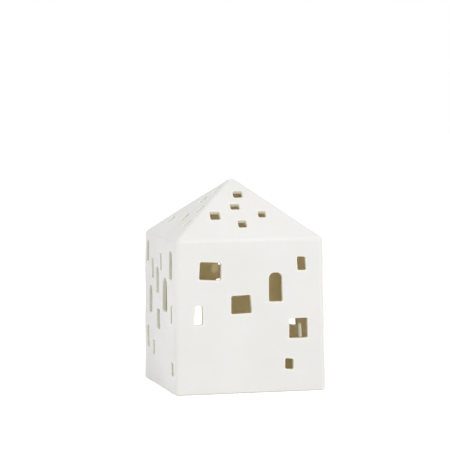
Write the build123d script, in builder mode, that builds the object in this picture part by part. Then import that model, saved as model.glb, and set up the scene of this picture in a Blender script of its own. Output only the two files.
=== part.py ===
"""Ceramic tealight house: a slip-cast, glazed cover with hand-cut windows, over a tealight.

Millimetres, +Z up. The origin is the middle of the footprint, at the height of the table.
The front wall faces -Y, and each wall is described as it is seen from outside.
"""

from build123d import *
from math import cos, hypot, radians, sin
import os

# House: footprint and heights, to the sharp corners that the rounding then takes off
BASE_WIDTH = 98.0
BASE_DEPTH = 98.0
EAVE_HEIGHT = 97.0
APEX_HEIGHT = 134.2
TIP_WEAR = 1.4  # the very tip of the roof is wiped blunt
WALL_LEAN = 0.9  # how far each wall leans in between the table and the eave
WALL_THICKNESS = 3.0
OUTER_ROUNDING = 3.4  # cast corners, eaves and hips
INNER_ROUNDING = 2.4  # slip gathers in the inside corners
RIM_BEVEL = 0.6  # wiped edges of the bottom rim

# Windows
WINDOW_CORNER = 0.7
WINDOW_LIP = 0.5  # sponged outer edge
CUT_OVERRUN = 2.0  # how far a cut starts outside the wall and ends inside it

# Tealight cup: thin drawn sheet, its rim curled into a bead
CUP_RADIUS = 19.0
CUP_HEIGHT = 15.0
CUP_SHEET = 0.25
CUP_CORNER = 1.8  # radius of the turn from base to wall, drawn in steps
CORNER_STEPS = 2
CUP_PANEL_RADIUS = 14.0  # stamped panel in the base
CUP_PANEL_RISE = 0.5
CUP_PANEL_SLOPE = 0.8
BEAD_RADIUS = 0.5
BEAD_SIDES = 6

# Candle in the cup
WAX_CLEARANCE = 0.3
WAX_HEIGHT = 11.8
WAX_BEVEL = 0.5
MELT_DISH_RADIUS = 4.5
MELT_DISH_DEPTH = 0.6
WICK_RADIUS = 0.9
WICK_FIT = 0.05  # gap all round the wick and its holder
WICK_STEM = 1.5  # straight length of wick above the wax
WICK_BEND_RADIUS = 9.0
WICK_BEND_ANGLE = 26.0
WICK_TIP = 1.6
SUSTAINER_RADIUS = 6.25
SUSTAINER_SHEET = 0.25
SUSTAINER_NECK = 3.2

# Arched heads: radius of each shoulder as a share of the head's width
SHOULDER_SHARE = 0.42

# Turn of each side from the front, about the vertical
SIDE_TURNS = {"front": 0, "right": 90, "back": 180, "left": 270}

# Wall windows, each (centre, sill, width, height, head, shift, tilt). Centre and width are shares
# of the wall's length at the table, from its left end, and sill and height are shares of its
# height to the eave. Head is the width at the top and shift its sideways lean, in shares of the
# width. Tilt turns the whole window about its sill, in degrees, as a knife held by hand does.
SQUARE_WINDOW_SHARES = {
    "front": [
        (0.235, 0.741, 0.144, 0.115, 0.97, -0.03, -3.5),
        (0.440, 0.518, 0.137, 0.118, 0.92, 0.01, 1.8),
        (0.844, 0.791, 0.057, 0.088, 0.97, -0.13, -1.5),
        (0.819, 0.346, 0.124, 0.130, 0.98, 0.00, 0.8),
        (0.754, 0.142, 0.056, 0.069, 0.98, -0.08, -5.0),
    ],
    "left": [
        (0.272, 0.702, 0.061, 0.131, 1.00, 0.02, 0.0),
        (0.531, 0.779, 0.061, 0.112, 0.96, 0.00, 1.0),
        (0.447, 0.378, 0.112, 0.131, 0.95, 0.02, 0.0),
        (0.851, 0.453, 0.050, 0.116, 1.00, 0.00, -1.0),
        (0.300, 0.186, 0.059, 0.097, 1.00, -0.02, 0.0),
        (0.884, 0.111, 0.062, 0.088, 0.97, 0.00, 1.5),
    ],
    "back": [
        (0.451, 0.563, 0.108, 0.096, 0.98, 0.00, 0.0),
        (0.428, 0.753, 0.118, 0.108, 0.98, 0.00, 0.0),
        (0.150, 0.706, 0.072, 0.102, 0.98, 0.03, 2.0),
        (0.700, 0.742, 0.132, 0.122, 0.96, -0.02, -1.5),
        (0.420, 0.126, 0.060, 0.072, 1.00, 0.02, 2.5),
    ],
    "right": [
        (0.781, 0.348, 0.274, 0.132, 0.98, 0.00, -5.0),
        (0.420, 0.570, 0.128, 0.128, 0.96, -0.02, 1.5),
        (0.530, 0.290, 0.081, 0.092, 0.98, 0.00, -4.0),
        (0.300, 0.190, 0.062, 0.082, 0.97, 0.03, 2.0),
        (0.826, 0.170, 0.062, 0.076, 1.00, -0.02, -2.0),
    ],
}
ARCHED_WINDOW_SHARES = {
    "front": [
        (0.670, 0.588, 0.090, 0.189, 0.96, -0.02, 0.0),
        (0.153, 0.451, 0.057, 0.129, 0.80, 0.08, 0.0),
    ],
    "left": [
        (0.117, 0.809, 0.085, 0.138, 0.95, 0.00, 0.0),
        (0.829, 0.740, 0.097, 0.184, 0.96, 0.01, 0.0),
        (0.414, 0.617, 0.095, 0.170, 0.95, -0.02, 0.0),
        (0.656, 0.516, 0.158, 0.220, 0.96, 0.02, 0.0),
        (0.206, 0.466, 0.105, 0.181, 0.96, 0.00, 0.0),
        (0.127, 0.225, 0.085, 0.146, 0.96, 0.02, 0.0),
    ],
    "back": [
        (0.608, 0.300, 0.116, 0.210, 0.96, 0.00, 1.0),
        (0.196, 0.330, 0.092, 0.186, 0.95, 0.02, -1.0),
    ],
    "right": [
        (0.190, 0.500, 0.100, 0.196, 0.96, 0.02, 0.5),
        (0.856, 0.590, 0.070, 0.150, 0.95, -0.02, 0.0),
    ],
}

# Roof windows, each (centre, sill, width, height, shift). Centre and width are shares of the
# wall's length, from the middle of the slope, sill and height are shares of the slope's length.
ROOF_WINDOW_SHARES = {
    "front": [
        (0.008, 0.674, 0.061, 0.103, 0.06),
        (-0.034, 0.486, 0.060, 0.093, 0.00),
        (-0.186, 0.328, 0.065, 0.129, 0.06),
        (0.129, 0.348, 0.050, 0.102, 0.06),
        (-0.019, 0.198, 0.055, 0.114, 0.06),
    ],
    "left": [
        (-0.206, 0.196, 0.065, 0.104, 0.00),
        (0.035, 0.274, 0.065, 0.110, 0.00),
        (0.257, 0.211, 0.058, 0.102, 0.00),
        (0.160, 0.425, 0.058, 0.120, 0.00),
        (-0.015, 0.561, 0.059, 0.096, 0.00),
        (0.016, 0.735, 0.042, 0.098, 0.00),
    ],
    "back": [
        (0.020, 0.636, 0.056, 0.094, -0.04),
        (0.076, 0.428, 0.060, 0.098, 0.03),
        (-0.175, 0.346, 0.056, 0.100, -0.04),
        (0.150, 0.182, 0.062, 0.100, 0.04),
    ],
    "right": [
        (-0.020, 0.650, 0.056, 0.094, 0.04),
        (-0.080, 0.450, 0.062, 0.098, -0.04),
        (0.120, 0.386, 0.060, 0.100, 0.04),
        (-0.100, 0.186, 0.058, 0.102, 0.00),
    ],
}


def side_lengths(side):
    """The length of a side at the table, and how far its face is from the middle there."""
    if side in ("front", "back"):
        return BASE_WIDTH, BASE_DEPTH / 2
    return BASE_DEPTH, BASE_WIDTH / 2


def side_planes(side):
    """The sharp wall and roof faces of one side: X along the eave, Y up the face, Z out of it."""
    outward = Vector(0, -1, 0).rotate(Axis.Z, SIDE_TURNS[side])
    along = Vector(1, 0, 0).rotate(Axis.Z, SIDE_TURNS[side])
    upward = Vector(0, 0, 1)
    length, reach = side_lengths(side)
    eave_reach = reach - WALL_LEAN
    wall = Plane(
        outward * reach,
        x_dir=along,
        z_dir=outward * EAVE_HEIGHT + upward * WALL_LEAN,
    )
    roof = Plane(
        outward * eave_reach + upward * EAVE_HEIGHT,
        x_dir=along,
        z_dir=outward * (APEX_HEIGHT - EAVE_HEIGHT) + upward * eave_reach,
    )
    return wall, roof


def house_form(inset, rounding):
    """A block trimmed by its wall and roof faces, all moved in, with every corner rounded."""
    core_inset = inset + rounding
    with BuildPart() as form:
        Box(BASE_WIDTH, BASE_DEPTH, 2 * APEX_HEIGHT)
        for side in SIDE_TURNS:
            for face in side_planes(side):
                split(bisect_by=face.offset(-core_inset), keep=Keep.BOTTOM)
        split(bisect_by=Plane.XY.offset(APEX_HEIGHT - TIP_WEAR - core_inset), keep=Keep.BOTTOM)
        offset(amount=rounding, kind=Kind.ARC)
    return form.part


def window_pane(width, height, head, shift, shoulder=None):
    """One window's outline, with the middle of its sill on the origin, square or arched."""
    with BuildSketch() as pane:
        Polygon(
            (-width / 2, 0),
            (width / 2, 0),
            (shift + head / 2, height),
            (shift - head / 2, height),
            align=None,
        )
        chamfer(pane.vertices().group_by(Axis.Y)[0], WINDOW_CORNER)
        top_corners = pane.vertices().group_by(Axis.Y)[-1]
        if shoulder:
            fillet(top_corners, shoulder)
        else:
            chamfer(top_corners, WINDOW_CORNER)
    return pane.sketch


def wall_windows(side):
    """The windows of one wall, as (place, tilt, outline) in that wall's plane."""
    length, _ = side_lengths(side)
    windows = []
    for table, shoulder_share in ((SQUARE_WINDOW_SHARES, 0), (ARCHED_WINDOW_SHARES, SHOULDER_SHARE)):
        for centre, sill, width, height, head, shift, tilt in table[side]:
            foot = width * length
            shoulder = shoulder_share * head * foot
            outline = window_pane(foot, height * EAVE_HEIGHT, head * foot, shift * foot, shoulder)
            windows.append((((centre - 0.5) * length, sill * EAVE_HEIGHT), tilt, outline))
    return windows


def roof_windows(side):
    """The windows of one roof slope, as (place, tilt, outline) in that slope's plane."""
    length, reach = side_lengths(side)
    slope = hypot(reach - WALL_LEAN, APEX_HEIGHT - EAVE_HEIGHT)
    windows = []
    for centre, sill, width, height, shift in ROOF_WINDOW_SHARES[side]:
        foot = width * length
        outline = window_pane(foot, height * slope, foot, shift * foot)
        windows.append(((centre * length, sill * slope), 0, outline))
    return windows


def stepped_corner(radius, height, corner):
    """Points of a lathe profile turning from a flat foot up into a wall, on an arc in flat steps."""
    turns = [radians(90 * step / CORNER_STEPS) for step in range(CORNER_STEPS + 1)]
    centre = (radius - corner, height + corner)
    return [(centre[0] + corner * sin(turn), centre[1] - corner * cos(turn)) for turn in turns]


def is_outer(face):
    """Whether a flat face of the shell looks away from the middle of the house."""
    middle = Vector(0, 0, EAVE_HEIGHT / 2)
    return face.normal_at().dot(face.center() - middle) > 0


# House shell: the rounded form, less the same form one wall thickness in, open at the bottom
outer_form = house_form(0, OUTER_ROUNDING)
cavity_form = house_form(WALL_THICKNESS, INNER_ROUNDING)
cut_faces = []
for side_name in SIDE_TURNS:
    wall_face, roof_face = side_planes(side_name)
    cut_faces.append((wall_face, wall_windows(side_name)))
    cut_faces.append((roof_face, roof_windows(side_name)))

with BuildPart() as house_shell:
    add(outer_form)
    add(cavity_form, mode=Mode.SUBTRACT)
    split(bisect_by=Plane.XY, keep=Keep.TOP)
    chamfer(house_shell.faces().sort_by(Axis.Z)[0].edges(), RIM_BEVEL)
    for cut_face, windows in cut_faces:
        with BuildSketch(cut_face.offset(CUT_OVERRUN)):
            for place, tilt, outline in windows:
                with Locations(place):
                    add(outline, rotation=tilt)
        extrude(amount=-(WALL_THICKNESS + 2 * CUT_OVERRUN), mode=Mode.SUBTRACT)
    lips = ShapeList()
    for outer_face in house_shell.faces().filter_by(GeomType.PLANE).filter_by(is_outer):
        for opening in outer_face.inner_wires():
            lips.extend(opening.edges())
    chamfer(lips, WINDOW_LIP)
house_shell.part.label = "house_shell"

# Tealight cup: one sheet, followed from the middle of the base out and up the wall to its bead
bead_height = CUP_HEIGHT - BEAD_RADIUS
with BuildPart() as tealight_cup:
    with BuildSketch(Plane.XZ):
        with BuildLine():
            Polyline(
                (0, CUP_PANEL_RISE),
                (CUP_PANEL_RADIUS - CUP_PANEL_SLOPE, CUP_PANEL_RISE),
                (CUP_PANEL_RADIUS, 0),
                *stepped_corner(CUP_RADIUS, 0, CUP_CORNER),
                (CUP_RADIUS, bead_height),
            )
            offset(amount=CUP_SHEET, side=Side.LEFT, kind=Kind.INTERSECTION)
        make_face()
        with Locations((CUP_RADIUS - CUP_SHEET + BEAD_RADIUS, bead_height)):
            RegularPolygon(BEAD_RADIUS, BEAD_SIDES, major_radius=False)
    revolve(axis=Axis.Z)
tealight_cup.part.label = "tealight_cup"

# Candle: everything in it stands on the raised panel of the cup
panel_top = CUP_PANEL_RISE + CUP_SHEET
wax_top = panel_top + WAX_HEIGHT
bore_radius = WICK_RADIUS + WICK_FIT
neck_radius = bore_radius + SUSTAINER_SHEET

with BuildPart() as wick_sustainer:
    with BuildSketch(Plane.XZ):
        with BuildLine():
            Polyline(
                (SUSTAINER_RADIUS, panel_top),
                (bore_radius, panel_top),
                (bore_radius, panel_top + SUSTAINER_NECK),
            )
            offset(amount=SUSTAINER_SHEET, side=Side.RIGHT, kind=Kind.INTERSECTION)
        make_face()
    revolve(axis=Axis.Z)
wick_sustainer.part.label = "wick_sustainer"

# Wax: its foot follows the cup's corner, and its face dips to the wick
wax_inset = CUP_SHEET + WAX_CLEARANCE
wax_radius = CUP_RADIUS - wax_inset
with BuildPart() as tealight_wax:
    with BuildSketch(Plane.XZ):
        Polygon(
            (0, wax_inset),
            *stepped_corner(wax_radius, wax_inset, CUP_CORNER - wax_inset),
            (wax_radius, wax_top - WAX_BEVEL),
            (wax_radius - WAX_BEVEL, wax_top),
            (MELT_DISH_RADIUS, wax_top),
            (bore_radius, wax_top - MELT_DISH_DEPTH),
            (0, wax_top - MELT_DISH_DEPTH),
            align=None,
        )
    revolve(axis=Axis.Z)
    split(bisect_by=Plane.XY.offset(panel_top), keep=Keep.TOP)
    with BuildSketch(Plane.XZ):
        with Locations((0, panel_top)):
            Rectangle(bore_radius, WAX_HEIGHT, align=Align.MIN)
            Rectangle(neck_radius + WICK_FIT, SUSTAINER_NECK + WICK_FIT, align=Align.MIN)
            Rectangle(SUSTAINER_RADIUS + WICK_FIT, SUSTAINER_SHEET + WICK_FIT, align=Align.MIN)
    revolve(axis=Axis.Z, mode=Mode.SUBTRACT)
tealight_wax.part.label = "tealight_wax"

with BuildPart() as tealight_wick:
    with BuildLine(Plane.XZ) as wick_path:
        stem = Line((0, panel_top), (0, wax_top + WICK_STEM))
        bend = JernArc(stem @ 1, stem % 1, WICK_BEND_RADIUS, -WICK_BEND_ANGLE)
        Line(bend @ 1, bend @ 1 + (bend % 1) * WICK_TIP)
    with BuildSketch(Plane.XY.offset(panel_top)):
        Circle(WICK_RADIUS)
    sweep(path=wick_path.line)
tealight_wick.part.label = "tealight_wick"

os.makedirs("parts", exist_ok=True)
export_step(house_shell.part, "parts/house_shell.step")
export_step(tealight_cup.part, "parts/tealight_cup.step")
export_step(tealight_wax.part, "parts/tealight_wax.step")
export_step(tealight_wick.part, "parts/tealight_wick.step")
export_step(wick_sustainer.part, "parts/wick_sustainer.step")
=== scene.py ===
"""Dresses the ceramic tealight house: its glaze, foil cup, wax and wick, in a white studio."""

from math import cos, pi, radians, sin, sqrt

import bmesh
import bpy
from bpy.props import FloatProperty, FloatVectorProperty, IntProperty, PointerProperty
from bpy.types import Operator, Panel, PropertyGroup
from mathutils import Matrix, Vector
from mathutils.bvhtree import BVHTree


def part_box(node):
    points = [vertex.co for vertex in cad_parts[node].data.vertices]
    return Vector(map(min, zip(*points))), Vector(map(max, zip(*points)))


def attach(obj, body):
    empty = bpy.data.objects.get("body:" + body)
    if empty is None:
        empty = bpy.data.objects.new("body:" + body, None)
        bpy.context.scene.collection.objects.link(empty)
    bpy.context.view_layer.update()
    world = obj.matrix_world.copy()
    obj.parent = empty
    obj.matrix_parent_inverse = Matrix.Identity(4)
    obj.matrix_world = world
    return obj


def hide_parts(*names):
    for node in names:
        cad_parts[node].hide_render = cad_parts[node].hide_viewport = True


bl_info = {
    "name": "Tealight House",
    "version": (1, 0, 0),
    "blender": (4, 5, 0),
    "location": "View3D > Sidebar > Tealight House",
    "description": "Glazed ceramic house over a tealight, in a white studio",
    "category": "Add Mesh",
}

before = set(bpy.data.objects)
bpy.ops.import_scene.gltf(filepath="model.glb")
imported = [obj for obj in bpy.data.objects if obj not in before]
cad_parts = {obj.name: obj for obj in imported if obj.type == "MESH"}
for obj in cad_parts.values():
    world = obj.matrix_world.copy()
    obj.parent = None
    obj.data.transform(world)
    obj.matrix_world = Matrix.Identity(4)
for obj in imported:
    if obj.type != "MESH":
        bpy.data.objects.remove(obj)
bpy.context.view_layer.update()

MM = 0.001
SHELL_LOW, SHELL_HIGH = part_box("house_shell")
CUP_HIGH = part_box("tealight_cup")[1]
WAX_LOW, WAX_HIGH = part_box("tealight_wax")
WICK_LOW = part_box("tealight_wick")[0]


# Settings

class TEALIGHTHOUSE_PG_shell(PropertyGroup):
    """Sizes of the cast shell that its dressed mesh adds to the plain one."""

    wall: FloatProperty(
        name="Wall", description="Thickness of the cast wall", default=3 * MM, unit="LENGTH")
    edge: FloatProperty(
        name="Edge Rounding", description="Rounding of each glazed edge", default=0.14 * MM,
        unit="LENGTH")
    edge_steps: IntProperty(
        name="Edge Steps", description="Flat steps across a rounded edge", default=2, min=1)
    sharp: FloatProperty(
        name="Sharp Edge", description="Edges that turn by more than this are rounded",
        default=radians(30), subtype="ANGLE")
    cell: FloatProperty(
        name="Cell", description="Size of the mesh cells that carry the uneven surface",
        default=3.2 * MM, unit="LENGTH")
    warp: FloatProperty(
        name="Warp", description="How far the hand-finished clay wanders from true",
        default=0.22 * MM, unit="LENGTH")
    warp_length: FloatProperty(
        name="Warp Length", description="Length of one wave of that wandering",
        default=46 * MM, unit="LENGTH")


class TEALIGHTHOUSE_PG_glaze(PropertyGroup):
    """Colours and gloss of the fired shell."""

    white: FloatVectorProperty(
        name="Glaze", description="Colour of the white glaze", subtype="COLOR",
        default=(0.852, 0.848, 0.828), min=0, max=1)
    shade: FloatVectorProperty(
        name="Glaze Shade", description="Colour where the glaze lies a little thicker",
        subtype="COLOR", default=(0.826, 0.821, 0.800), min=0, max=1)
    # A cream brighter than the glaze: partly glaze thinning over a window's edge, partly a painted
    # highlight on the lit lip
    thin_glaze_and_highlight: FloatVectorProperty(
        name="Thin Glaze", description="Warm colour where the glaze breaks over a cut edge",
        subtype="COLOR", default=(1.0, 0.925, 0.79), min=0, max=1)
    jamb: FloatVectorProperty(
        name="Jamb", description="Colour of the glaze in the thickness of a window",
        subtype="COLOR", default=(0.90, 0.915, 0.82), min=0, max=1)
    # Painted light: brighter and warmer than the jamb colour, standing in for warm light bounced
    # from the clay inside onto window sides that look down, and for light on sides towards the
    # right
    under: FloatVectorProperty(
        name="Warm Jamb", description="The same where the cut looks down or lies at the right",
        subtype="COLOR", default=(0.97, 0.93, 0.81), min=0, max=1)
    clay: FloatVectorProperty(
        name="Clay", description="Colour of the bare clay inside", subtype="COLOR",
        default=(0.98, 0.90, 0.62), min=0, max=1)
    rust: FloatVectorProperty(
        name="Rust", description="Redder patches of that clay", subtype="COLOR",
        default=(0.98, 0.82, 0.55), min=0, max=1)
    biscuit: FloatVectorProperty(
        name="Biscuit", description="Colour of the bare foot ring", subtype="COLOR",
        default=(0.86, 0.85, 0.82), min=0, max=1)
    gloss: FloatProperty(
        name="Glaze Roughness", description="Roughness of the satin glaze", default=0.5,
        min=0, max=1)
    dry: FloatProperty(
        name="Clay Roughness", description="Roughness of the bare clay", default=0.85,
        min=0, max=1)


class TEALIGHTHOUSE_PG_cup(PropertyGroup):
    """The drawn foil cup of the tealight."""

    radius: FloatProperty(
        name="Radius", description="Outer radius of the wall", default=19 * MM, unit="LENGTH")
    sheet: FloatProperty(
        name="Sheet", description="Thickness of the foil", default=0.25 * MM, unit="LENGTH")
    bead: FloatProperty(
        name="Bead", description="Radius of the curled rim", default=0.5 * MM, unit="LENGTH")
    corner: FloatProperty(
        name="Corner", description="Radius of the turn from base to wall", default=1.8 * MM,
        unit="LENGTH")
    panel: FloatProperty(
        name="Panel", description="Radius of the stamped panel in the base", default=14 * MM,
        unit="LENGTH")
    panel_rise: FloatProperty(
        name="Panel Rise", description="How far that panel stands up", default=0.5 * MM,
        unit="LENGTH")
    panel_slope: FloatProperty(
        name="Panel Slope", description="Width of the slope round that panel", default=0.8 * MM,
        unit="LENGTH")
    flutes: IntProperty(
        name="Flutes", description="Shallow flutes drawn round the wall", default=56, min=8)
    flute_depth: FloatProperty(
        name="Flute Depth", description="Depth of one flute", default=0.09 * MM, unit="LENGTH")
    foil: FloatVectorProperty(
        name="Foil", description="Colour of the bright foil", subtype="COLOR",
        default=(0.70, 0.70, 0.71), min=0, max=1)
    foil_dull: FloatVectorProperty(
        name="Dull Foil", description="Colour where the foil has dulled", subtype="COLOR",
        default=(0.60, 0.60, 0.61), min=0, max=1)


class TEALIGHTHOUSE_PG_candle(PropertyGroup):
    """The wax, its wick and the tin disc that holds the wick."""

    meniscus: FloatProperty(
        name="Meniscus", description="How far the wax climbs at the cup", default=0.35 * MM,
        unit="LENGTH")
    dish: FloatProperty(
        name="Dish", description="Radius of the shallow dish round the wick", default=4.5 * MM,
        unit="LENGTH")
    dish_depth: FloatProperty(
        name="Dish Depth", description="Depth of that dish", default=0.5 * MM, unit="LENGTH")
    bore: FloatProperty(
        name="Bore", description="Radius of the hole that the wick fills", default=0.95 * MM,
        unit="LENGTH")
    strand: FloatProperty(
        name="Strand", description="Radius of one strand of the braid", default=0.33 * MM,
        unit="LENGTH")
    strands: IntProperty(
        name="Strands", description="Strands in the braid", default=3, min=2)
    pitch: FloatProperty(
        name="Braid Pitch", description="Length of one full turn of the braid",
        default=3.4 * MM, unit="LENGTH")
    stem: FloatProperty(
        name="Stem", description="Straight length of wick above the wax", default=1.5 * MM,
        unit="LENGTH")
    bend: FloatProperty(
        name="Bend Radius", description="Radius of the wick's bend", default=9 * MM,
        unit="LENGTH")
    bend_angle: FloatProperty(
        name="Bend Angle", description="How far the wick leans over", default=radians(26),
        subtype="ANGLE")
    tip: FloatProperty(
        name="Tip", description="Straight length at the wick's tip", default=1.6 * MM,
        unit="LENGTH")
    wax: FloatVectorProperty(
        name="Wax", description="Colour of the wax", subtype="COLOR",
        default=(0.93, 0.925, 0.90), min=0, max=1)
    cotton: FloatVectorProperty(
        name="Cotton", description="Colour of the waxed cotton", subtype="COLOR",
        default=(0.80, 0.76, 0.66), min=0, max=1)
    tin: FloatVectorProperty(
        name="Tin", description="Colour of the tinplate", subtype="COLOR",
        default=(0.66, 0.65, 0.63), min=0, max=1)
    tin_dull: FloatVectorProperty(
        name="Dull Tin", description="Colour of the lines in the tinplate", subtype="COLOR",
        default=(0.57, 0.56, 0.55), min=0, max=1)


class TEALIGHTHOUSE_PG_studio(PropertyGroup):
    """The camera, and the light of the white studio."""

    footprint: FloatProperty(
        name="Footprint", description="Width of the house, which the camera's place follows",
        default=98 * MM, unit="LENGTH")
    azimuth: FloatProperty(
        name="Azimuth", description="Turn of the view about the house", default=radians(-13.292),
        subtype="ANGLE")
    elevation: FloatProperty(
        name="Elevation", description="How far the camera looks down", default=radians(4.1715),
        subtype="ANGLE")
    roll: FloatProperty(
        name="Roll", description="Tilt of the picture", default=radians(-0.55),
        subtype="ANGLE")
    distance_share: FloatProperty(
        name="Distance", description="Camera distance, in footprints", default=17.1)
    aim_share: FloatProperty(
        name="Aim Height", description="Height of the point looked at, in footprints", default=0.7)
    right_share: FloatProperty(
        name="Move Right", description="Sideways move of the camera, in footprints",
        default=-0.0457)
    up_share: FloatProperty(
        name="Move Up", description="Upward move of the camera, in footprints", default=0.3482)
    lens: FloatProperty(
        name="Lens", description="Focal length for a 36 mm sensor", default=207.2,
        unit="CAMERA")
    sky: FloatProperty(
        name="Sky", description="Strength of the even studio light", default=0.75, min=0)
    key: FloatProperty(
        name="Key Lamp", description="Power of the small lamp in front, high on the right",
        default=2.6, unit="POWER")
    front: FloatProperty(
        name="Front Softbox", description="Power of the softbox in front", default=1.0,
        unit="POWER")
    side: FloatProperty(
        name="Side Softbox", description="Power of the softbox at the left", default=0.0105,
        unit="POWER")
    top: FloatProperty(
        name="Top Softbox", description="Power of the softbox above", default=0.35,
        unit="POWER")
    floor_glow: FloatProperty(
        name="Table Glow", description="How far the white table is lifted to pure white",
        default=0.5, min=0)


SETTINGS = {
    "tealight_shell": TEALIGHTHOUSE_PG_shell,
    "tealight_glaze": TEALIGHTHOUSE_PG_glaze,
    "tealight_cup": TEALIGHTHOUSE_PG_cup,
    "tealight_candle": TEALIGHTHOUSE_PG_candle,
    "tealight_studio": TEALIGHTHOUSE_PG_studio,
}


# Shader building

# Places of a Mix node's sockets when it mixes colours
MIX_FACTOR, MIX_FIRST, MIX_SECOND, MIX_RESULT = 0, 6, 7, 2


class Sheet:
    """A node tree being filled: places a node, sets its values and links what is given to it."""

    def __init__(self, tree):
        self.tree = tree

    def add(self, kind, output=0, values=None, **settings):
        """Adds a node and returns one of its outputs. Values are numbers, colours or outputs."""
        node = self.tree.nodes.new(kind)
        for name, value in settings.items():
            setattr(node, name, value)
        for name, value in (values or {}).items():
            self.feed(node.inputs[name], value)
        return node.outputs[output]

    def feed(self, socket, value):
        """Sets an input to a number or colour, or links it to another node's output."""
        if isinstance(value, bpy.types.NodeSocket):
            self.tree.links.new(value, socket)
        elif hasattr(value, "__len__") and socket.type == "RGBA":
            socket.default_value = (*value[:3], 1)
        else:
            socket.default_value = value

    def math(self, operation, first, second=0.0):
        """Two numbers joined by a plain operation, or one number changed by it."""
        return self.add("ShaderNodeMath", values={0: first, 1: second}, operation=operation)

    def vectors(self, operation, first, second, output=0):
        """Two vectors joined by a plain operation."""
        return self.add(
            "ShaderNodeVectorMath", output, {0: first, 1: second}, operation=operation)

    def part(self, vector, axis):
        """The part of a vector along one axis."""
        return self.add("ShaderNodeSeparateXYZ", axis, {"Vector": vector})

    def spread(self, value, low, high, to_low=0.0, to_high=1.0):
        """A value brought smoothly from one range to another, and held inside it."""
        values = {"Value": value, "From Min": low, "From Max": high}
        values.update({"To Min": to_low, "To Max": to_high})
        return self.add("ShaderNodeMapRange", values=values, interpolation_type="SMOOTHSTEP")

    def ranged(self, mask, low, high):
        """A mask from 0 to 1 brought smoothly to another range."""
        return self.spread(mask, 0.0, 1.0, low, high)

    def blend(self, share, first, second):
        """Two colours mixed by a share."""
        values = {MIX_FACTOR: share, MIX_FIRST: first, MIX_SECOND: second}
        return self.add("ShaderNodeMix", MIX_RESULT, values, data_type="RGBA")

    def mask(self, effect, **values):
        """The mask of a shared effect, placed with its own values."""
        return self.add("ShaderNodeGroup", "Mask", values, node_tree=effect)


def new_group(name, inputs):
    """A shader group that puts out a mask, with its inside ready to fill."""
    tree = bpy.data.node_groups.new(name, "ShaderNodeTree")
    for label, kind, default in inputs:
        socket = tree.interface.new_socket(label, in_out="INPUT", socket_type=kind)
        if default is not None:
            socket.default_value = default
    tree.interface.new_socket("Mask", in_out="OUTPUT", socket_type="NodeSocketFloat")
    return Sheet(tree), tree.nodes.new("NodeGroupInput"), tree.nodes.new("NodeGroupOutput")


# Shared effects

MOTTLE, STREAKS = "Fired Mottle", "Drawn Streaks"
MIDDLE_GREY = 0.5
MOTTLE_GAIN = 4.0
STREAK_EDGES = (0.3, 0.7)

# How alike the plain and the rounded normal are where the mask of an edge ends
EDGE_LIKENESS = 0.97


def mottle_group():
    """Soft uneven patches, for glaze, clay and wax: a mask from 0 to 1."""
    if MOTTLE in bpy.data.node_groups:
        return bpy.data.node_groups[MOTTLE]
    sheet, entry, leave = new_group(MOTTLE, [
        ("Place", "NodeSocketVector", None),
        ("Scale", "NodeSocketFloat", 30.0),
        ("Contrast", "NodeSocketFloat", 0.5),
    ])
    values = {"Vector": entry.outputs["Place"], "Scale": entry.outputs["Scale"]}
    values.update({"Detail": 3.0, "Roughness": 0.5})
    noise = sheet.add("ShaderNodeTexNoise", values=values)
    centred = sheet.math("SUBTRACT", noise, MIDDLE_GREY)
    gain = sheet.math("MULTIPLY", entry.outputs["Contrast"], MOTTLE_GAIN)
    patches = sheet.math("ADD", sheet.math("MULTIPLY", centred, gain), MIDDLE_GREY)
    sheet.feed(leave.inputs["Mask"], sheet.spread(patches, 0.0, 1.0))
    return sheet.tree


def streak_group():
    """Fine lines drawn one way, for drawn metal and cotton: a mask from 0 to 1."""
    if STREAKS in bpy.data.node_groups:
        return bpy.data.node_groups[STREAKS]
    sheet, entry, leave = new_group(STREAKS, [
        ("Place", "NodeSocketVector", None),
        ("Across", "NodeSocketFloat", 1500.0),
        ("Along", "NodeSocketFloat", 60.0),
    ])
    across, along = entry.outputs["Across"], entry.outputs["Along"]
    scale = sheet.add("ShaderNodeCombineXYZ", values={"X": across, "Y": across, "Z": along})
    place = sheet.vectors("MULTIPLY", entry.outputs["Place"], scale)
    values = {"Vector": place, "Scale": 1.0, "Detail": 2.0}
    noise = sheet.add("ShaderNodeTexNoise", values=values)
    sheet.feed(leave.inputs["Mask"], sheet.spread(noise, *STREAK_EDGES))
    return sheet.tree


def edge_mask(sheet, reach):
    """How near a point lies to a sharp edge: 1 on the edge, and 0 beyond the reach."""
    normal = sheet.add("ShaderNodeNewGeometry", "Normal")
    rounded = sheet.add("ShaderNodeBevel", values={"Radius": reach})
    likeness = sheet.vectors("DOT_PRODUCT", normal, rounded, "Value")
    return sheet.spread(likeness, 1.0, EDGE_LIKENESS)


# Materials

WALL_DEPTH = "wall_depth"

# Heights over which the bare foot ring ends
FOOT_EDGE = (0.15 * MM, 0.45 * MM)

# How far the rim round a window reaches, with its thinning glaze and painted highlight
RIM_REACH = 1.3 * MM

# Shares of the wall's thickness where a window's side begins, and where the bare inside does
SIDE_DEPTH = (0.12, 0.30)
INSIDE_DEPTH = (0.93, 1.0)

# How far the normal of a window's side points down, from no painted warm light to full painted
# warm light
LOOKING_DOWN = (-0.2, -0.5)

# Places from left to right over which painted warm light on the windows' sides grows
PAINTED_WARM_LIGHT_PLACES = (-20 * MM, 42 * MM)

# Places by the line between the front and the left quarter, the shaded side, where rims and sides
# stay cool: no painted light is laid on them there
SHADED_LEFT_QUARTER = (-4 * MM, 0.0)

# How far the glaze's roughness wanders, and how much of the grain shows on glaze and on clay
GLOSS_DRIFT = 0.05
GRAIN_ON_GLAZE_AND_CLAY = (0.05, 0.5)

# Roughness from the smoothest to the dullest places
FOIL_ROUGHNESS = (0.22, 0.38)
TIN_ROUGHNESS = (0.32, 0.48)
WAX_ROUGHNESS = (0.30, 0.46)

# Brightness of the wax under its bloom, and of the cotton between its fibres
BLOOM_SHARE = 0.95
FIBRE_SHARE = 0.8


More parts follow.
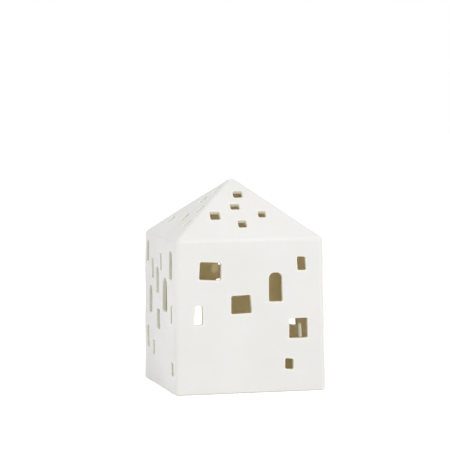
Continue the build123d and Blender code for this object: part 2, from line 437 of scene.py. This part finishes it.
def new_material(name):
    """A material holding only its principled shader and output, and its object's coordinates."""
    material = bpy.data.materials.new(name)
    material.use_nodes = True
    sheet = Sheet(material.node_tree)
    place = sheet.add("ShaderNodeTexCoord", "Object")
    return material, sheet, material.node_tree.nodes["Principled BSDF"], place


def set_plain(shader, values):
    """Sets what is the same all over the surface."""
    for name, value in values.items():
        shader.inputs[name].default_value = value


def add_relief(sheet, shader, height, strength, distance):
    """Raises the surface by a mask, as a bump."""
    values = {"Height": height, "Strength": strength, "Distance": distance}
    sheet.feed(shader.inputs["Normal"], sheet.add("ShaderNodeBump", values=values))


def darker(colour, share):
    """A colour brought down to a share of its brightness."""
    return [share * part for part in colour]


def window_colours_with_painted_light(sheet, place, glaze):
    """Colours of a window's rim and of its sides: a painted highlight on the rim and painted warm
    light on the sides, both left out in the shaded left quarter, which stays cool.
    """
    across = sheet.part(place, "X")
    aside = sheet.math("ADD", across, sheet.math("ABSOLUTE", sheet.part(place, "Y")))
    # 0 in the shaded left quarter, where no painted light is laid on rims and sides
    outside_shaded_quarter = sheet.spread(aside, *SHADED_LEFT_QUARTER)
    normal = sheet.add("ShaderNodeNewGeometry", "Normal")
    # Painted warm bounce light on window sides that look down, and painted light growing towards
    # the right
    under = sheet.spread(sheet.part(normal, "Z"), *LOOKING_DOWN)
    warm = sheet.math("MAXIMUM", under, sheet.spread(across, *PAINTED_WARM_LIGHT_PLACES))
    # Rim: thinning glaze with a painted highlight, plain jamb colour in the shaded left quarter
    rim = sheet.blend(outside_shaded_quarter, glaze.jamb, glaze.thin_glaze_and_highlight)
    # Sides: painted warm light, none in the shaded left quarter
    side = sheet.blend(sheet.math("MULTIPLY", warm, outside_shaded_quarter), glaze.jamb, glaze.under)
    return rim, side


def glaze_material(glaze):
    """Satin white glaze outside, warm where it thins over cut edges, with painted highlights on
    window rims and painted warm light on window sides, and bare clay within.
    """
    material, sheet, shader, place = new_material("white_glaze")
    depth = sheet.add("ShaderNodeAttribute", "Fac", attribute_name=WALL_DEPTH)
    within = sheet.spread(depth, *INSIDE_DEPTH)
    foot = sheet.spread(sheet.part(place, "Z"), *FOOT_EDGE, 1.0, 0.0)
    bare = sheet.math("MAXIMUM", within, foot)
    patches = sheet.mask(mottle_group(), Place=place, Scale=26.0, Contrast=0.55)
    grain = sheet.mask(mottle_group(), Place=place, Scale=900.0, Contrast=0.5)
    ripple = sheet.mask(mottle_group(), Place=place, Scale=210.0, Contrast=0.4)
    rust = sheet.mask(mottle_group(), Place=place, Scale=120.0, Contrast=0.7)

    rim, side = window_colours_with_painted_light(sheet, place, glaze)
    skin = sheet.blend(patches, glaze.white, glaze.shade)
    # Window rims carry thinning glaze and a painted highlight
    rimmed = sheet.blend(edge_mask(sheet, RIM_REACH), skin, rim)
    # Window sides carry painted warm light
    cut = sheet.blend(sheet.spread(depth, *SIDE_DEPTH), rimmed, side)
    footed = sheet.blend(foot, cut, glaze.biscuit)
    clay = sheet.blend(rust, glaze.clay, glaze.rust)
    sheet.feed(shader.inputs["Base Color"], sheet.blend(within, footed, clay))

    gloss = sheet.ranged(patches, glaze.gloss - GLOSS_DRIFT, glaze.gloss + GLOSS_DRIFT)
    dryness = sheet.ranged(bare, 0.0, glaze.dry - glaze.gloss)
    sheet.feed(shader.inputs["Roughness"], sheet.math("ADD", gloss, dryness))

    fine = sheet.math("MULTIPLY", grain, sheet.ranged(bare, *GRAIN_ON_GLAZE_AND_CLAY))
    relief = sheet.math("ADD", ripple, fine)
    add_relief(sheet, shader, relief, strength=0.35, distance=0.05 * MM)
    set_plain(shader, {
        "Subsurface Weight": 0.25,
        "Subsurface Radius": (1.0, 0.9, 0.75),
        "Subsurface Scale": 2.5 * MM,
    })
    return material


def foil_material(cup):
    """Bright drawn aluminium with fine vertical lines and a little uneven dulling."""
    material, sheet, shader, place = new_material("cup_foil")
    streaks = sheet.mask(streak_group(), Place=place, Across=1400.0, Along=40.0)
    dull = sheet.mask(mottle_group(), Place=place, Scale=160.0, Contrast=0.5)
    sheet.feed(shader.inputs["Base Color"], sheet.blend(dull, cup.foil, cup.foil_dull))
    sheet.feed(shader.inputs["Roughness"], sheet.ranged(streaks, *FOIL_ROUGHNESS))
    add_relief(sheet, shader, streaks, strength=0.25, distance=0.02 * MM)
    set_plain(shader, {"Metallic": 1.0})
    return material


def tin_material(candle):
    """Plain stamped tinplate, a little duller than the cup."""
    material, sheet, shader, place = new_material("sustainer_tin")
    streaks = sheet.mask(streak_group(), Place=place, Across=900.0, Along=900.0)
    sheet.feed(shader.inputs["Base Color"], sheet.blend(streaks, candle.tin, candle.tin_dull))
    sheet.feed(shader.inputs["Roughness"], sheet.ranged(streaks, *TIN_ROUGHNESS))
    set_plain(shader, {"Metallic": 1.0})
    return material


def wax_material(colour):
    """White paraffin: soft, faintly see-through, with a frosted bloom."""
    material, sheet, shader, place = new_material("candle_wax")
    bloom = sheet.mask(mottle_group(), Place=place, Scale=240.0, Contrast=0.6)
    fine = sheet.mask(mottle_group(), Place=place, Scale=1600.0, Contrast=0.4)
    frosted = sheet.blend(bloom, colour, darker(colour, BLOOM_SHARE))
    sheet.feed(shader.inputs["Base Color"], frosted)
    sheet.feed(shader.inputs["Roughness"], sheet.ranged(bloom, *WAX_ROUGHNESS))
    add_relief(sheet, shader, fine, strength=0.2, distance=0.03 * MM)
    set_plain(shader, {
        "Subsurface Weight": 0.35,
        "Subsurface Radius": (1.0, 0.85, 0.7),
        "Subsurface Scale": 1.5 * MM,
    })
    return material


def cotton_material(colour):
    """Waxed cotton, with fine fibres along the strands."""
    material, sheet, shader, place = new_material("wick_cotton")
    fibres = sheet.mask(streak_group(), Place=place, Across=9000.0, Along=1500.0)
    threaded = sheet.blend(fibres, colour, darker(colour, FIBRE_SHARE))
    sheet.feed(shader.inputs["Base Color"], threaded)
    add_relief(sheet, shader, fibres, strength=0.5, distance=0.05 * MM)
    set_plain(shader, {"Roughness": 0.7, "Sheen Weight": 0.3})
    return material


# Mesh building

# How near two points of a turned piece lie to be joined, and of the copies of a sector
WELD, SECTOR_WELD = 0.001 * MM, 0.002 * MM

# Faces of the hull that point down by more than this close its open foot
FOOT_FACES = -0.5

# The warp fades in over this many times its amount, above the flat foot
FADE_ABOVE_FOOT = 12

# Two waves for the warp in each direction: their rates along x, y and z, and their start
WARP_WAVES = (
    (((0.0, 0.83, 0.0), 0.6), ((0.0, 0.41, 1.27), 2.1)),
    (((0.91, 0.0, 0.0), 1.9), ((-0.37, 0.0, 1.13), 0.4)),
    (((1.07, 0.0, 0.0), -0.8), ((0.29, 0.97, 0.0), 1.2)),
)


def object_from(name, data):
    """A new object holding a mesh, light or camera, in the scene."""
    item = bpy.data.objects.new(name, data)
    bpy.context.scene.collection.objects.link(item)
    return item


def finished(shape, name):
    """A bmesh written to a new object, smooth all over."""
    mesh = bpy.data.meshes.new(name)
    shape.to_mesh(mesh)
    shape.free()
    mesh.shade_smooth()
    return object_from(name, mesh)


def bake(item):
    """Works the object's modifiers into its mesh and removes them."""
    evaluated = item.evaluated_get(bpy.context.evaluated_depsgraph_get())
    mesh = bpy.data.meshes.new_from_object(evaluated)
    item.modifiers.clear()
    item.data = mesh
    mesh.name = item.name


def joined_copy(node, join=0.002 * MM, flat=radians(0.3)):
    """A CAD node's mesh with its loose triangles joined and its flat faces made whole."""
    shape = bmesh.new()
    shape.from_mesh(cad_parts[node].data)
    bmesh.ops.remove_doubles(shape, verts=shape.verts, dist=join)
    bmesh.ops.dissolve_limit(shape, angle_limit=flat, verts=shape.verts, edges=shape.edges)
    return shape


def round_sharp_edges(shape, settings):
    """Rounds each sharp edge of the shape by a small radius."""
    sharp = [
        edge for edge in shape.edges
        if edge.is_manifold and edge.calc_face_angle() > settings.sharp
    ]
    bmesh.ops.bevel(
        shape, geom=sharp, offset=settings.edge, offset_type="OFFSET", affect="EDGES",
        segments=settings.edge_steps, profile=0.5, clamp_overlap=True)


def cut_into_cells(shape, low, high, cell):
    """Cuts every face along a square grid, so that the surface can bend."""
    bmesh.ops.triangulate(shape, faces=shape.faces)
    for axis in range(3):
        normal = Vector([float(axis == other) for other in range(3)])
        count = int((high[axis] - low[axis]) / cell)
        for step in range(1, count + 1):
            place = Vector(low) + normal * step * cell
            everything = shape.verts[:] + shape.edges[:] + shape.faces[:]
            bmesh.ops.bisect_plane(shape, geom=everything, plane_co=place, plane_no=normal)


def outer_distance(shape):
    """How deep each point lies under the convex outside of the shell, its open foot left out."""
    hull = bmesh.new()
    for vertex in shape.verts:
        hull.verts.new(vertex.co)
    found = bmesh.ops.convex_hull(hull, input=hull.verts)
    inner = [part for part in found["geom_interior"] if isinstance(part, bmesh.types.BMVert)]
    bmesh.ops.delete(hull, geom=inner, context="VERTS")
    under = [face for face in hull.faces if face.normal.z < FOOT_FACES]
    bmesh.ops.delete(hull, geom=under, context="FACES")
    tree = BVHTree.FromBMesh(hull)
    distances = [tree.find_nearest(vertex.co)[3] for vertex in shape.verts]
    hull.free()
    return distances


def wave(turns, rates, start):
    """One smooth wave through space, half a unit high."""
    return sin(sum(rate * turn for rate, turn in zip(rates, turns)) + start) / 2


def wander(place, length):
    """A smooth unit-sized drift of a point, different in each direction and never repeated."""
    turns = Vector(place) * (2 * pi / length)
    return Vector([
        sum(wave(turns, rates, start) for rates, start in waves) for waves in WARP_WAVES
    ])


def warp_by_hand(shape, low, high, amount, length):
    """Lets the cast wander a little from true, drawn in first so that it stays inside its size."""
    middle = (Vector(low) + Vector(high)) / 2
    reach = (Vector(high) - Vector(low)) / 2
    fade = FADE_ABOVE_FOOT * amount
    for vertex in shape.verts:
        offset = vertex.co - middle
        drawn = Vector([offset[axis] * (1 - amount / reach[axis]) for axis in range(3)])
        moved = middle + drawn + wander(vertex.co, length) * amount
        rise = min((vertex.co.z - low.z) / fade, 1.0)
        moved.z = vertex.co.z + (moved.z - vertex.co.z) * rise
        vertex.co = moved


def store_values(mesh, name, values):
    """Keeps one number for each point of a mesh, for its material to read."""
    attribute = mesh.attributes.new(name, "FLOAT", "POINT")
    attribute.data.foreach_set("value", values)


def shares(steps):
    """Even shares of a way, from the end of its first step to the end of the last."""
    return [step / steps for step in range(1, steps + 1)]


def arc_points(centre, radius, start, end, steps):
    """Points on an arc, as (radius, height) pairs of a lathe profile."""
    angles = [start + (end - start) * step / steps for step in range(steps + 1)]
    return [(centre[0] + radius * cos(a), centre[1] + radius * sin(a)) for a in angles]


def spaced(points, gap):
    """A profile with points added, so that a long stretch has one at about each gap."""
    filled = [points[0]]
    for start, end in zip(points, points[1:]):
        length = sqrt((end[0] - start[0]) ** 2 + (end[1] - start[1]) ** 2)
        for share in shares(max(1, round(length / gap))):
            filled.append((
                start[0] + (end[0] - start[0]) * share,
                start[1] + (end[1] - start[1]) * share,
            ))
    return filled


def lathe(shape, profile, columns, turn=2 * pi, ripple=None):
    """Turns a profile about the upright axis, all round or over one sector."""
    rings = columns if turn == 2 * pi else columns + 1
    grid = []
    for column in range(rings):
        share = column / columns
        angle = turn * share
        line = []
        for radius, height in profile:
            wide = radius + (ripple(share, radius, height) if ripple else 0.0)
            line.append(shape.verts.new((wide * cos(angle), wide * sin(angle), height)))
        grid.append(line)
    for column in range(columns):
        here, beside = grid[column], grid[(column + 1) % rings]
        for row in range(len(profile) - 1):
            shape.faces.new((here[row], beside[row], beside[row + 1], here[row + 1]))
    bmesh.ops.remove_doubles(shape, verts=shape.verts, dist=WELD)


# Geometry trees

SECTION_POINTS = 10
BEND_AXIS = (0, 1, 0)


class Tree(Sheet):
    """A geometry tree being built, with its named inputs."""

    def __init__(self, name):
        super().__init__(bpy.data.node_groups.new(name, "GeometryNodeTree"))
        for way in ("INPUT", "OUTPUT"):
            self.tree.interface.new_socket(
                "Geometry", in_out=way, socket_type="NodeSocketGeometry")
        self.entry = self.tree.nodes.new("NodeGroupInput")
        self.leave = self.tree.nodes.new("NodeGroupOutput")

    def ask(self, name, kind="NodeSocketFloat"):
        """Adds a named input, and returns the socket inside that gives its value."""
        self.tree.interface.new_socket(name, in_out="INPUT", socket_type=kind)
        return self.entry.outputs[name]

    def make(self, kind, values, **settings):
        """Adds a geometry node and returns its first output."""
        return self.add(kind, 0, values, **settings)

    def finish(self, geometry, material):
        """Ends the tree in real geometry with its material."""
        real = self.make("GeometryNodeRealizeInstances", {"Geometry": geometry})
        painted = self.make("GeometryNodeSetMaterial", {"Geometry": real, "Material": material})
        self.feed(self.leave.inputs["Geometry"], painted)

    def put_on(self, item, values):
        """Gives an object this tree, with its inputs set by their identifiers."""
        modifier = item.modifiers.new(self.tree.name, "NODES")
        modifier.node_group = self.tree
        for socket in self.tree.interface.items_tree:
            if socket.in_out == "INPUT" and socket.name in values:
                modifier[socket.identifier] = values[socket.name]
        item.update_tag()
        bpy.context.view_layer.update()


def ring_tree():
    """Repeats one sector all round the upright axis and welds the copies."""
    tree = Tree("Ring Of Sectors")
    count = tree.ask("Sectors", "NodeSocketInt")
    weld = tree.ask("Weld")
    material = tree.ask("Material", "NodeSocketMaterial")
    points = tree.make("GeometryNodeMeshLine", {"Count": count, "Offset": (0, 0, 0)})
    turn = tree.math("DIVIDE", 2 * pi, count)
    angle = tree.math("MULTIPLY", tree.add("GeometryNodeInputIndex"), turn)
    copies = tree.make("GeometryNodeInstanceOnPoints", {
        "Points": points,
        "Instance": tree.entry.outputs["Geometry"],
        "Rotation": tree.add("ShaderNodeCombineXYZ", values={"Z": angle}),
    })
    real = tree.make("GeometryNodeRealizeInstances", {"Geometry": copies})
    welded = tree.make("GeometryNodeMergeByDistance", {"Geometry": real, "Distance": weld})
    tree.finish(welded, material)
    return tree


def strand_move(tree, angle, wide, thick):
    """How far a strand lies from the guide line: one swing across, and two through it."""
    sideways = tree.math("MULTIPLY", tree.math("SINE", angle), wide)
    twice = tree.math("MULTIPLY", angle, 2.0)
    inward = tree.math("MULTIPLY", tree.math("SINE", twice), thick)
    level = tree.vectors("CROSS_PRODUCT", tree.add("GeometryNodeInputTangent"), BEND_AXIS)
    deep = tree.add("ShaderNodeVectorMath", values={0: level, "Scale": inward}, operation="SCALE")
    return tree.vectors("ADD", tree.add("ShaderNodeCombineXYZ", values={"Y": sideways}), deep)


def braid_tree():
    """Lays strands that cross over each other along a guide line."""
    tree = Tree("Braid Along Line")
    strands = tree.ask("Strands", "NodeSocketInt")
    strand = tree.ask("Strand Radius")
    wide = tree.ask("Half Width")
    thick = tree.ask("Half Thickness")
    pitch = tree.ask("Pitch")
    step = tree.ask("Step")
    material = tree.ask("Material", "NodeSocketMaterial")
    line = tree.make("GeometryNodeMeshToCurve", {"Mesh": tree.entry.outputs["Geometry"]})
    guide = tree.make("GeometryNodeResampleCurve", {"Curve": line, "Length": step}, mode="LENGTH")
    copies = tree.make(
        "GeometryNodeDuplicateElements", {"Geometry": guide, "Amount": strands},
        domain="SPLINE")
    number = copies.node.outputs["Duplicate Index"]
    travelled = tree.math("DIVIDE", tree.add("GeometryNodeSplineParameter", "Length"), pitch)
    share = tree.math("ADD", travelled, tree.math("DIVIDE", number, strands))
    move = strand_move(tree, tree.math("MULTIPLY", share, 2 * pi), wide, thick)
    placed = tree.make("GeometryNodeSetPosition", {"Geometry": copies, "Offset": move})
    section = tree.make(
        "GeometryNodeCurvePrimitiveCircle", {"Resolution": SECTION_POINTS, "Radius": strand})
    tubes = tree.make("GeometryNodeCurveToMesh", {
        "Curve": placed,
        "Profile Curve": section,
        "Fill Caps": True,
    })
    tree.finish(tree.make("GeometryNodeSetShadeSmooth", {"Geometry": tubes}), material)
    return tree


# Pieces

# Foil cup: gap between points of its outline, steps of its turns, and columns in one flute
CUP_GAP = 1.6 * MM
CORNER_STEPS, BEAD_STEPS = 6, 14
FLUTE_COLUMNS = 6

# Where the curl of the rim starts and ends, from straight outwards
BEAD_START, BEAD_END = radians(-120), radians(180)

# How many bead radii under the rim the flutes stop, and over what height they fade
FLUTE_STOP = 2.6
FLUTE_FADE = 1.5 * MM

# Wax: gap between points of its outline, steps over its curved face, and columns all round
WAX_GAP = 1.5 * MM
FACE_STEPS = 8
WAX_COLUMNS = 96

# Radius and height of the room in the wax for the sustainer's neck, and for its disc
NECK_RADIUS, NECK_HEIGHT = 1.25 * MM, 3.25 * MM
DISC_RADIUS, DISC_HEIGHT = 6.3 * MM, 0.3 * MM

# The wax's lower bevel in shares of the cup's corner, its upper one, and where it climbs
LOWER_BEVEL = 0.7
UPPER_BEVEL_WIDTH, UPPER_BEVEL_HEIGHT = 0.15 * MM, 0.12 * MM
CLIMB_WIDTH = 1.6 * MM

# Wick: steps over its bend and along its strands, its play in the wax, and its flatness
BEND_STEPS = 8
STRAND_STEP = 0.12 * MM
WICK_PLAY = 0.05 * MM
BRAID_FLATNESS = 0.62


class TEALIGHTHOUSE_OT_shell(Operator):
    """Make the glazed ceramic shell with its hand-cut windows"""

    bl_idname = "tealight_house.shell"
    bl_label = "Ceramic Shell"

    def execute(self, context):
        settings = context.scene.tealight_shell
        shape = joined_copy("house_shell")
        round_sharp_edges(shape, settings)
        cut_into_cells(shape, SHELL_LOW, SHELL_HIGH, settings.cell)
        depths = [distance / settings.wall for distance in outer_distance(shape)]
        warp_by_hand(shape, SHELL_LOW, SHELL_HIGH, settings.warp, settings.warp_length)
        house = finished(shape, "ceramic_house")
        store_values(house.data, WALL_DEPTH, depths)
        weighted = house.modifiers.new("Even Shading", "WEIGHTED_NORMAL")
        weighted.mode = "FACE_AREA_WITH_ANGLE"
        bake(house)
        house.data.materials.append(glaze_material(context.scene.tealight_glaze))
        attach(house, "house")
        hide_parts("house_shell")
        return {"FINISHED"}


def cup_profile(cup, rim):
    """The foil's outline, from the middle of the base out, up, round the bead and back in."""
    corner_place = (cup.radius - cup.corner, cup.corner)
    bead_place = (cup.radius - cup.sheet + cup.bead, rim - cup.bead)
    outside = [
        (0.0, cup.panel_rise),
        (cup.panel - cup.panel_slope, cup.panel_rise),
        (cup.panel, 0.0),
        *arc_points(corner_place, cup.corner, -pi / 2, 0.0, CORNER_STEPS),
    ]
    bead = arc_points(bead_place, cup.bead, BEAD_START, BEAD_END, BEAD_STEPS)
    inside = [
        *arc_points(corner_place, cup.corner - cup.sheet, 0.0, -pi / 2, CORNER_STEPS),
        (cup.panel + cup.sheet / 2, cup.sheet),
        (cup.panel - cup.panel_slope + cup.sheet / 2, cup.panel_rise + cup.sheet),
        (0.0, cup.panel_rise + cup.sheet),
    ]
    return spaced(outside + bead + inside, CUP_GAP)


def flute_ripple(cup, rim):
    """The rule of the flutes: how far the foil is drawn in at each place of one of them."""
    low_end = cup.corner
    high_end = rim - FLUTE_STOP * cup.bead

    def ripple(share, radius, height):
        if radius < cup.radius - cup.corner:
            return 0.0
        rise = min(max((height - low_end) / FLUTE_FADE, 0.0), 1.0)
        fall = min(max((high_end - height) / FLUTE_FADE, 0.0), 1.0)
        return -cup.flute_depth * (1 - cos(2 * pi * share)) / 2 * rise * fall

    return ripple


class TEALIGHTHOUSE_OT_cup(Operator):
    """Make the thin foil cup with its fluted wall and curled rim"""

    bl_idname = "tealight_house.cup"
    bl_label = "Foil Cup"

    def execute(self, context):
        cup = context.scene.tealight_cup
        rim = CUP_HIGH.z
        ripple = flute_ripple(cup, rim)
        sector = bmesh.new()
        lathe(sector, cup_profile(cup, rim), FLUTE_COLUMNS, 2 * pi / cup.flutes, ripple)
        foil = finished(sector, "foil_cup")
        ring_tree().put_on(foil, {
            "Sectors": cup.flutes,
            "Weld": SECTOR_WELD,
            "Material": foil_material(cup),
        })
        bake(foil)
        foil.data.shade_smooth()
        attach(foil, "tealight")
        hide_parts("tealight_cup")
        return {"FINISHED"}


def wax_profile(candle, cup):
    """The wax's outline, from its bore at the foot out, up, and over its dished face."""
    side = WAX_HIGH.x
    foot, top = WAX_LOW.z, WAX_HIGH.z
    bevel = cup.corner * LOWER_BEVEL
    inner_side = side - UPPER_BEVEL_WIDTH
    neck_top, disc_top = foot + NECK_HEIGHT, foot + DISC_HEIGHT
    face = top - candle.meniscus
    points = [
        (candle.bore, neck_top),
        (NECK_RADIUS, neck_top),
        (NECK_RADIUS, disc_top),
        (DISC_RADIUS, disc_top),
        (DISC_RADIUS, foot),
        (side - bevel, foot),
        (side, foot + bevel),
        (side, top - UPPER_BEVEL_HEIGHT),
        (inner_side, top),
    ]
    for share in shares(FACE_STEPS):
        sink = candle.meniscus * sin(share * pi / 2)
        points.append((inner_side - CLIMB_WIDTH * share, top - sink))
    points.append((candle.dish, face))
    for share in shares(FACE_STEPS):
        dip = candle.dish_depth * (1 - cos(share * pi)) / 2
        points.append((candle.dish - (candle.dish - candle.bore) * share, face - dip))
    points.append((candle.bore, neck_top))
    return spaced(points, WAX_GAP)


class TEALIGHTHOUSE_OT_wax(Operator):
    """Make the wax, climbing at the cup and dished round the wick"""

    bl_idname = "tealight_house.wax"
    bl_label = "Wax"

    def execute(self, context):
        candle = context.scene.tealight_candle
        shape = bmesh.new()
        lathe(shape, wax_profile(candle, context.scene.tealight_cup), WAX_COLUMNS)
        wax = finished(shape, "wax_body")
        wax.data.materials.append(wax_material(candle.wax))
        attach(wax, "candle")
        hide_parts("tealight_wax")
        return {"FINISHED"}


def wick_line(candle):
    """Points of the wick's middle line: up its stem, over the bend and on to the tip."""
    start = WICK_LOW.z
    bend_start = WAX_HIGH.z + candle.stem
    points = [(0.0, start), (0.0, (start + bend_start) / 2)]
    for step in range(BEND_STEPS + 1):
        angle = candle.bend_angle * step / BEND_STEPS
        points.append((
            candle.bend * (1 - cos(angle)),
            bend_start + candle.bend * sin(angle),
        ))
    last = points[-1]
    points.append((
        last[0] + candle.tip * sin(candle.bend_angle),
        last[1] + candle.tip * cos(candle.bend_angle),
    ))
    return [Vector((sideways, 0.0, height)) for sideways, height in points]


class TEALIGHTHOUSE_OT_wick(Operator):
    """Braid the wick along its bent line"""

    bl_idname = "tealight_house.wick"
    bl_label = "Wick"

    def execute(self, context):
        candle = context.scene.tealight_candle
        points = wick_line(candle)
        line = bpy.data.meshes.new("braided_wick")
        line.from_pydata(points, [(index, index + 1) for index in range(len(points) - 1)], [])
        wick = object_from("braided_wick", line)
        reach = candle.bore - WICK_PLAY - candle.strand
        braid_tree().put_on(wick, {
            "Strands": candle.strands,
            "Strand Radius": candle.strand,
            "Half Width": reach,
            "Half Thickness": reach * BRAID_FLATNESS,
            "Pitch": candle.pitch,
            "Step": STRAND_STEP,
            "Material": cotton_material(candle.cotton),
        })
        bake(wick)
        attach(wick, "candle")
        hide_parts("tealight_wick")
        return {"FINISHED"}


class TEALIGHTHOUSE_OT_sustainer(Operator):
    """Finish the tin disc that holds the wick"""

    bl_idname = "tealight_house.sustainer"
    bl_label = "Wick Sustainer"

    def execute(self, context):
        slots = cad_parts["wick_sustainer"].data.materials
        tin = tin_material(context.scene.tealight_candle)
        for index in range(len(slots)):
            slots[index] = tin
        return {"FINISHED"}


# Studio

TABLE_WHITE = (0.86, 0.86, 0.86)
WHITE = (1, 1, 1)

# The table reaches this many footprints each way, a little under the foot of the house
TABLE_REACH = 40
TABLE_GAP = 0.2 * MM

# Height of the point that the lamps are set about, in footprints
LAMP_CENTRE = 0.6

# Each lamp's place from that point, and its size, in footprints
KEY_PLACE, KEY_SIZE = (2.10, -10.72, 6.13), 0.25
FRONT_PLACE, FRONT_SIZE = (8.0, -11.5, 1.5), 7
SIDE_PLACE, SIDE_SIZE = (-1.45, -0.36, 0.05), 0.3
TOP_PLACE, TOP_SIZE = (2.0, -1.6, 6.0), 6

# How far the camera sees, in metres
CLIP_END = 20.0


def rays(sheet, *kinds):
    """1 for light paths of the kinds that are named, and 0 for others."""
    found = sheet.add("ShaderNodeLightPath", kinds[0])
    for kind in kinds[1:]:
        found = sheet.math("MAXIMUM", found, sheet.add("ShaderNodeLightPath", kind))
    return found


def floor_material(glow_strength):
    """A white table: bright to the camera, still holding the shadow of what stands on it."""
    material = bpy.data.materials.new("studio_floor")
    material.use_nodes = True
    tree = material.node_tree
    tree.nodes.remove(tree.nodes["Principled BSDF"])
    sheet = Sheet(tree)
    seen = rays(sheet, "Is Camera Ray", "Is Glossy Ray")
    surface = sheet.add("ShaderNodeBsdfDiffuse", values={"Color": TABLE_WHITE})
    glow = sheet.add("ShaderNodeEmission", values={"Color": WHITE, "Strength": glow_strength})
    lit = sheet.add("ShaderNodeAddShader", values={0: surface, 1: glow})
    shown = sheet.add("ShaderNodeMixShader", values={0: seen, 1: surface, 2: lit})
    sheet.feed(tree.nodes["Material Output"].inputs["Surface"], shown)
    return material


def studio_table(studio):
    """The white table that the house stands on."""
    half = TABLE_REACH * studio.footprint
    shape = bmesh.new()
    corners = [(-half, -half), (half, -half), (half, half), (-half, half)]
    shape.faces.new([shape.verts.new((x, y, -TABLE_GAP)) for x, y in corners])
    table = finished(shape, "white_table")
    table.data.materials.append(floor_material(studio.floor_glow))


def studio_world(strength):
    """Even light from all round, seen as plain white by the camera and in reflections."""
    world = bpy.data.worlds.new("white_studio")
    world.use_nodes = True
    sheet = Sheet(world.node_tree)
    seen = rays(sheet, "Is Camera Ray", "Is Glossy Ray", "Is Transmission Ray")
    background = world.node_tree.nodes["Background"]
    sheet.feed(background.inputs["Color"], WHITE)
    sheet.feed(background.inputs["Strength"], sheet.ranged(seen, strength, 1.0))
    bpy.context.scene.world = world


def softbox(name, place, target, size, power):
    """A square area light that looks at a point and isn't seen itself."""
    light = bpy.data.lights.new(name, "AREA")
    light.shape = "SQUARE"
    light.size = size
    light.energy = power
    item = object_from(name, light)
    item.visible_camera = False
    item.location = place
    item.rotation_euler = (target - place).to_track_quat("-Z", "Y").to_euler()


def studio_lamps(studio):
    """A small key lamp and two softboxes that look at the house, and one that looks across."""
    unit = studio.footprint
    centre = Vector((0.0, 0.0, LAMP_CENTRE * unit))
    key, front, side, top = [
        centre + Vector(place) * unit for place in (KEY_PLACE, FRONT_PLACE, SIDE_PLACE, TOP_PLACE)
    ]
    across = side + Vector((unit, 0.0, 0.0))
    softbox("key_lamp", key, centre, KEY_SIZE * unit, studio.key)
    softbox("front_softbox", front, centre, FRONT_SIZE * unit, studio.front)
    softbox("side_softbox", side, across, SIDE_SIZE * unit, studio.side)
    softbox("top_softbox", top, centre, TOP_SIZE * unit, studio.top)


def studio_camera(studio):
    """The camera, placed about the house by its angles and measured in footprints."""
    azimuth, elevation, roll = studio.azimuth, studio.elevation, studio.roll
    level = cos(elevation)
    back = Vector((sin(azimuth) * level, -cos(azimuth) * level, sin(elevation)))
    right = Vector((cos(azimuth), sin(azimuth), 0.0))
    up = back.cross(right)
    aim = Vector((0.0, 0.0, studio.aim_share))
    move = back * studio.distance_share + right * studio.right_share + up * studio.up_share
    turned_right = right * cos(roll) + up * sin(roll)
    turned_up = up * cos(roll) - right * sin(roll)
    pose = Matrix((turned_right, turned_up, back)).transposed().to_4x4()
    pose.translation = (aim + move) * studio.footprint
    lens = bpy.data.cameras.new("studio_camera")
    lens.lens = studio.lens
    lens.clip_end = CLIP_END
    camera = object_from("studio_camera", lens)
    camera.matrix_world = pose
    bpy.context.scene.camera = camera


class TEALIGHTHOUSE_OT_studio(Operator):
    """Set the white table, the lights and the camera"""

    bl_idname = "tealight_house.studio"
    bl_label = "White Studio"

    def execute(self, context):
        studio = context.scene.tealight_studio
        studio_table(studio)
        studio_world(studio.sky)
        studio_lamps(studio)
        studio_camera(studio)
        context.scene.view_settings.view_transform = "Standard"
        return {"FINISHED"}


class TEALIGHTHOUSE_PT_panel(Panel):
    """Lists the pieces and their settings"""

    bl_idname = "TEALIGHTHOUSE_PT_panel"
    bl_label = "Tealight House"
    bl_space_type = "VIEW_3D"
    bl_region_type = "UI"
    bl_category = "Tealight House"

    def draw(self, context):
        for operator in OPERATORS:
            self.layout.operator(operator.bl_idname)
        for name, group in SETTINGS.items():
            box = self.layout.box()
            for label in group.__annotations__:
                box.prop(getattr(context.scene, name), label)


OPERATORS = (
    TEALIGHTHOUSE_OT_studio,
    TEALIGHTHOUSE_OT_shell,
    TEALIGHTHOUSE_OT_cup,
    TEALIGHTHOUSE_OT_wax,
    TEALIGHTHOUSE_OT_wick,
    TEALIGHTHOUSE_OT_sustainer,
)


def register():
    for item in (*SETTINGS.values(), *OPERATORS, TEALIGHTHOUSE_PT_panel):
        bpy.utils.register_class(item)
    for name, group in SETTINGS.items():
        setattr(bpy.types.Scene, name, PointerProperty(type=group))


def unregister():
    for name in SETTINGS:
        delattr(bpy.types.Scene, name)
    for item in reversed((*SETTINGS.values(), *OPERATORS, TEALIGHTHOUSE_PT_panel)):
        bpy.utils.unregister_class(item)


def main():
    register()
    bpy.ops.tealight_house.studio()
    bpy.ops.tealight_house.shell()
    bpy.ops.tealight_house.cup()
    bpy.ops.tealight_house.wax()
    bpy.ops.tealight_house.wick()
    bpy.ops.tealight_house.sustainer()


if __name__ == "__main__":
    main()
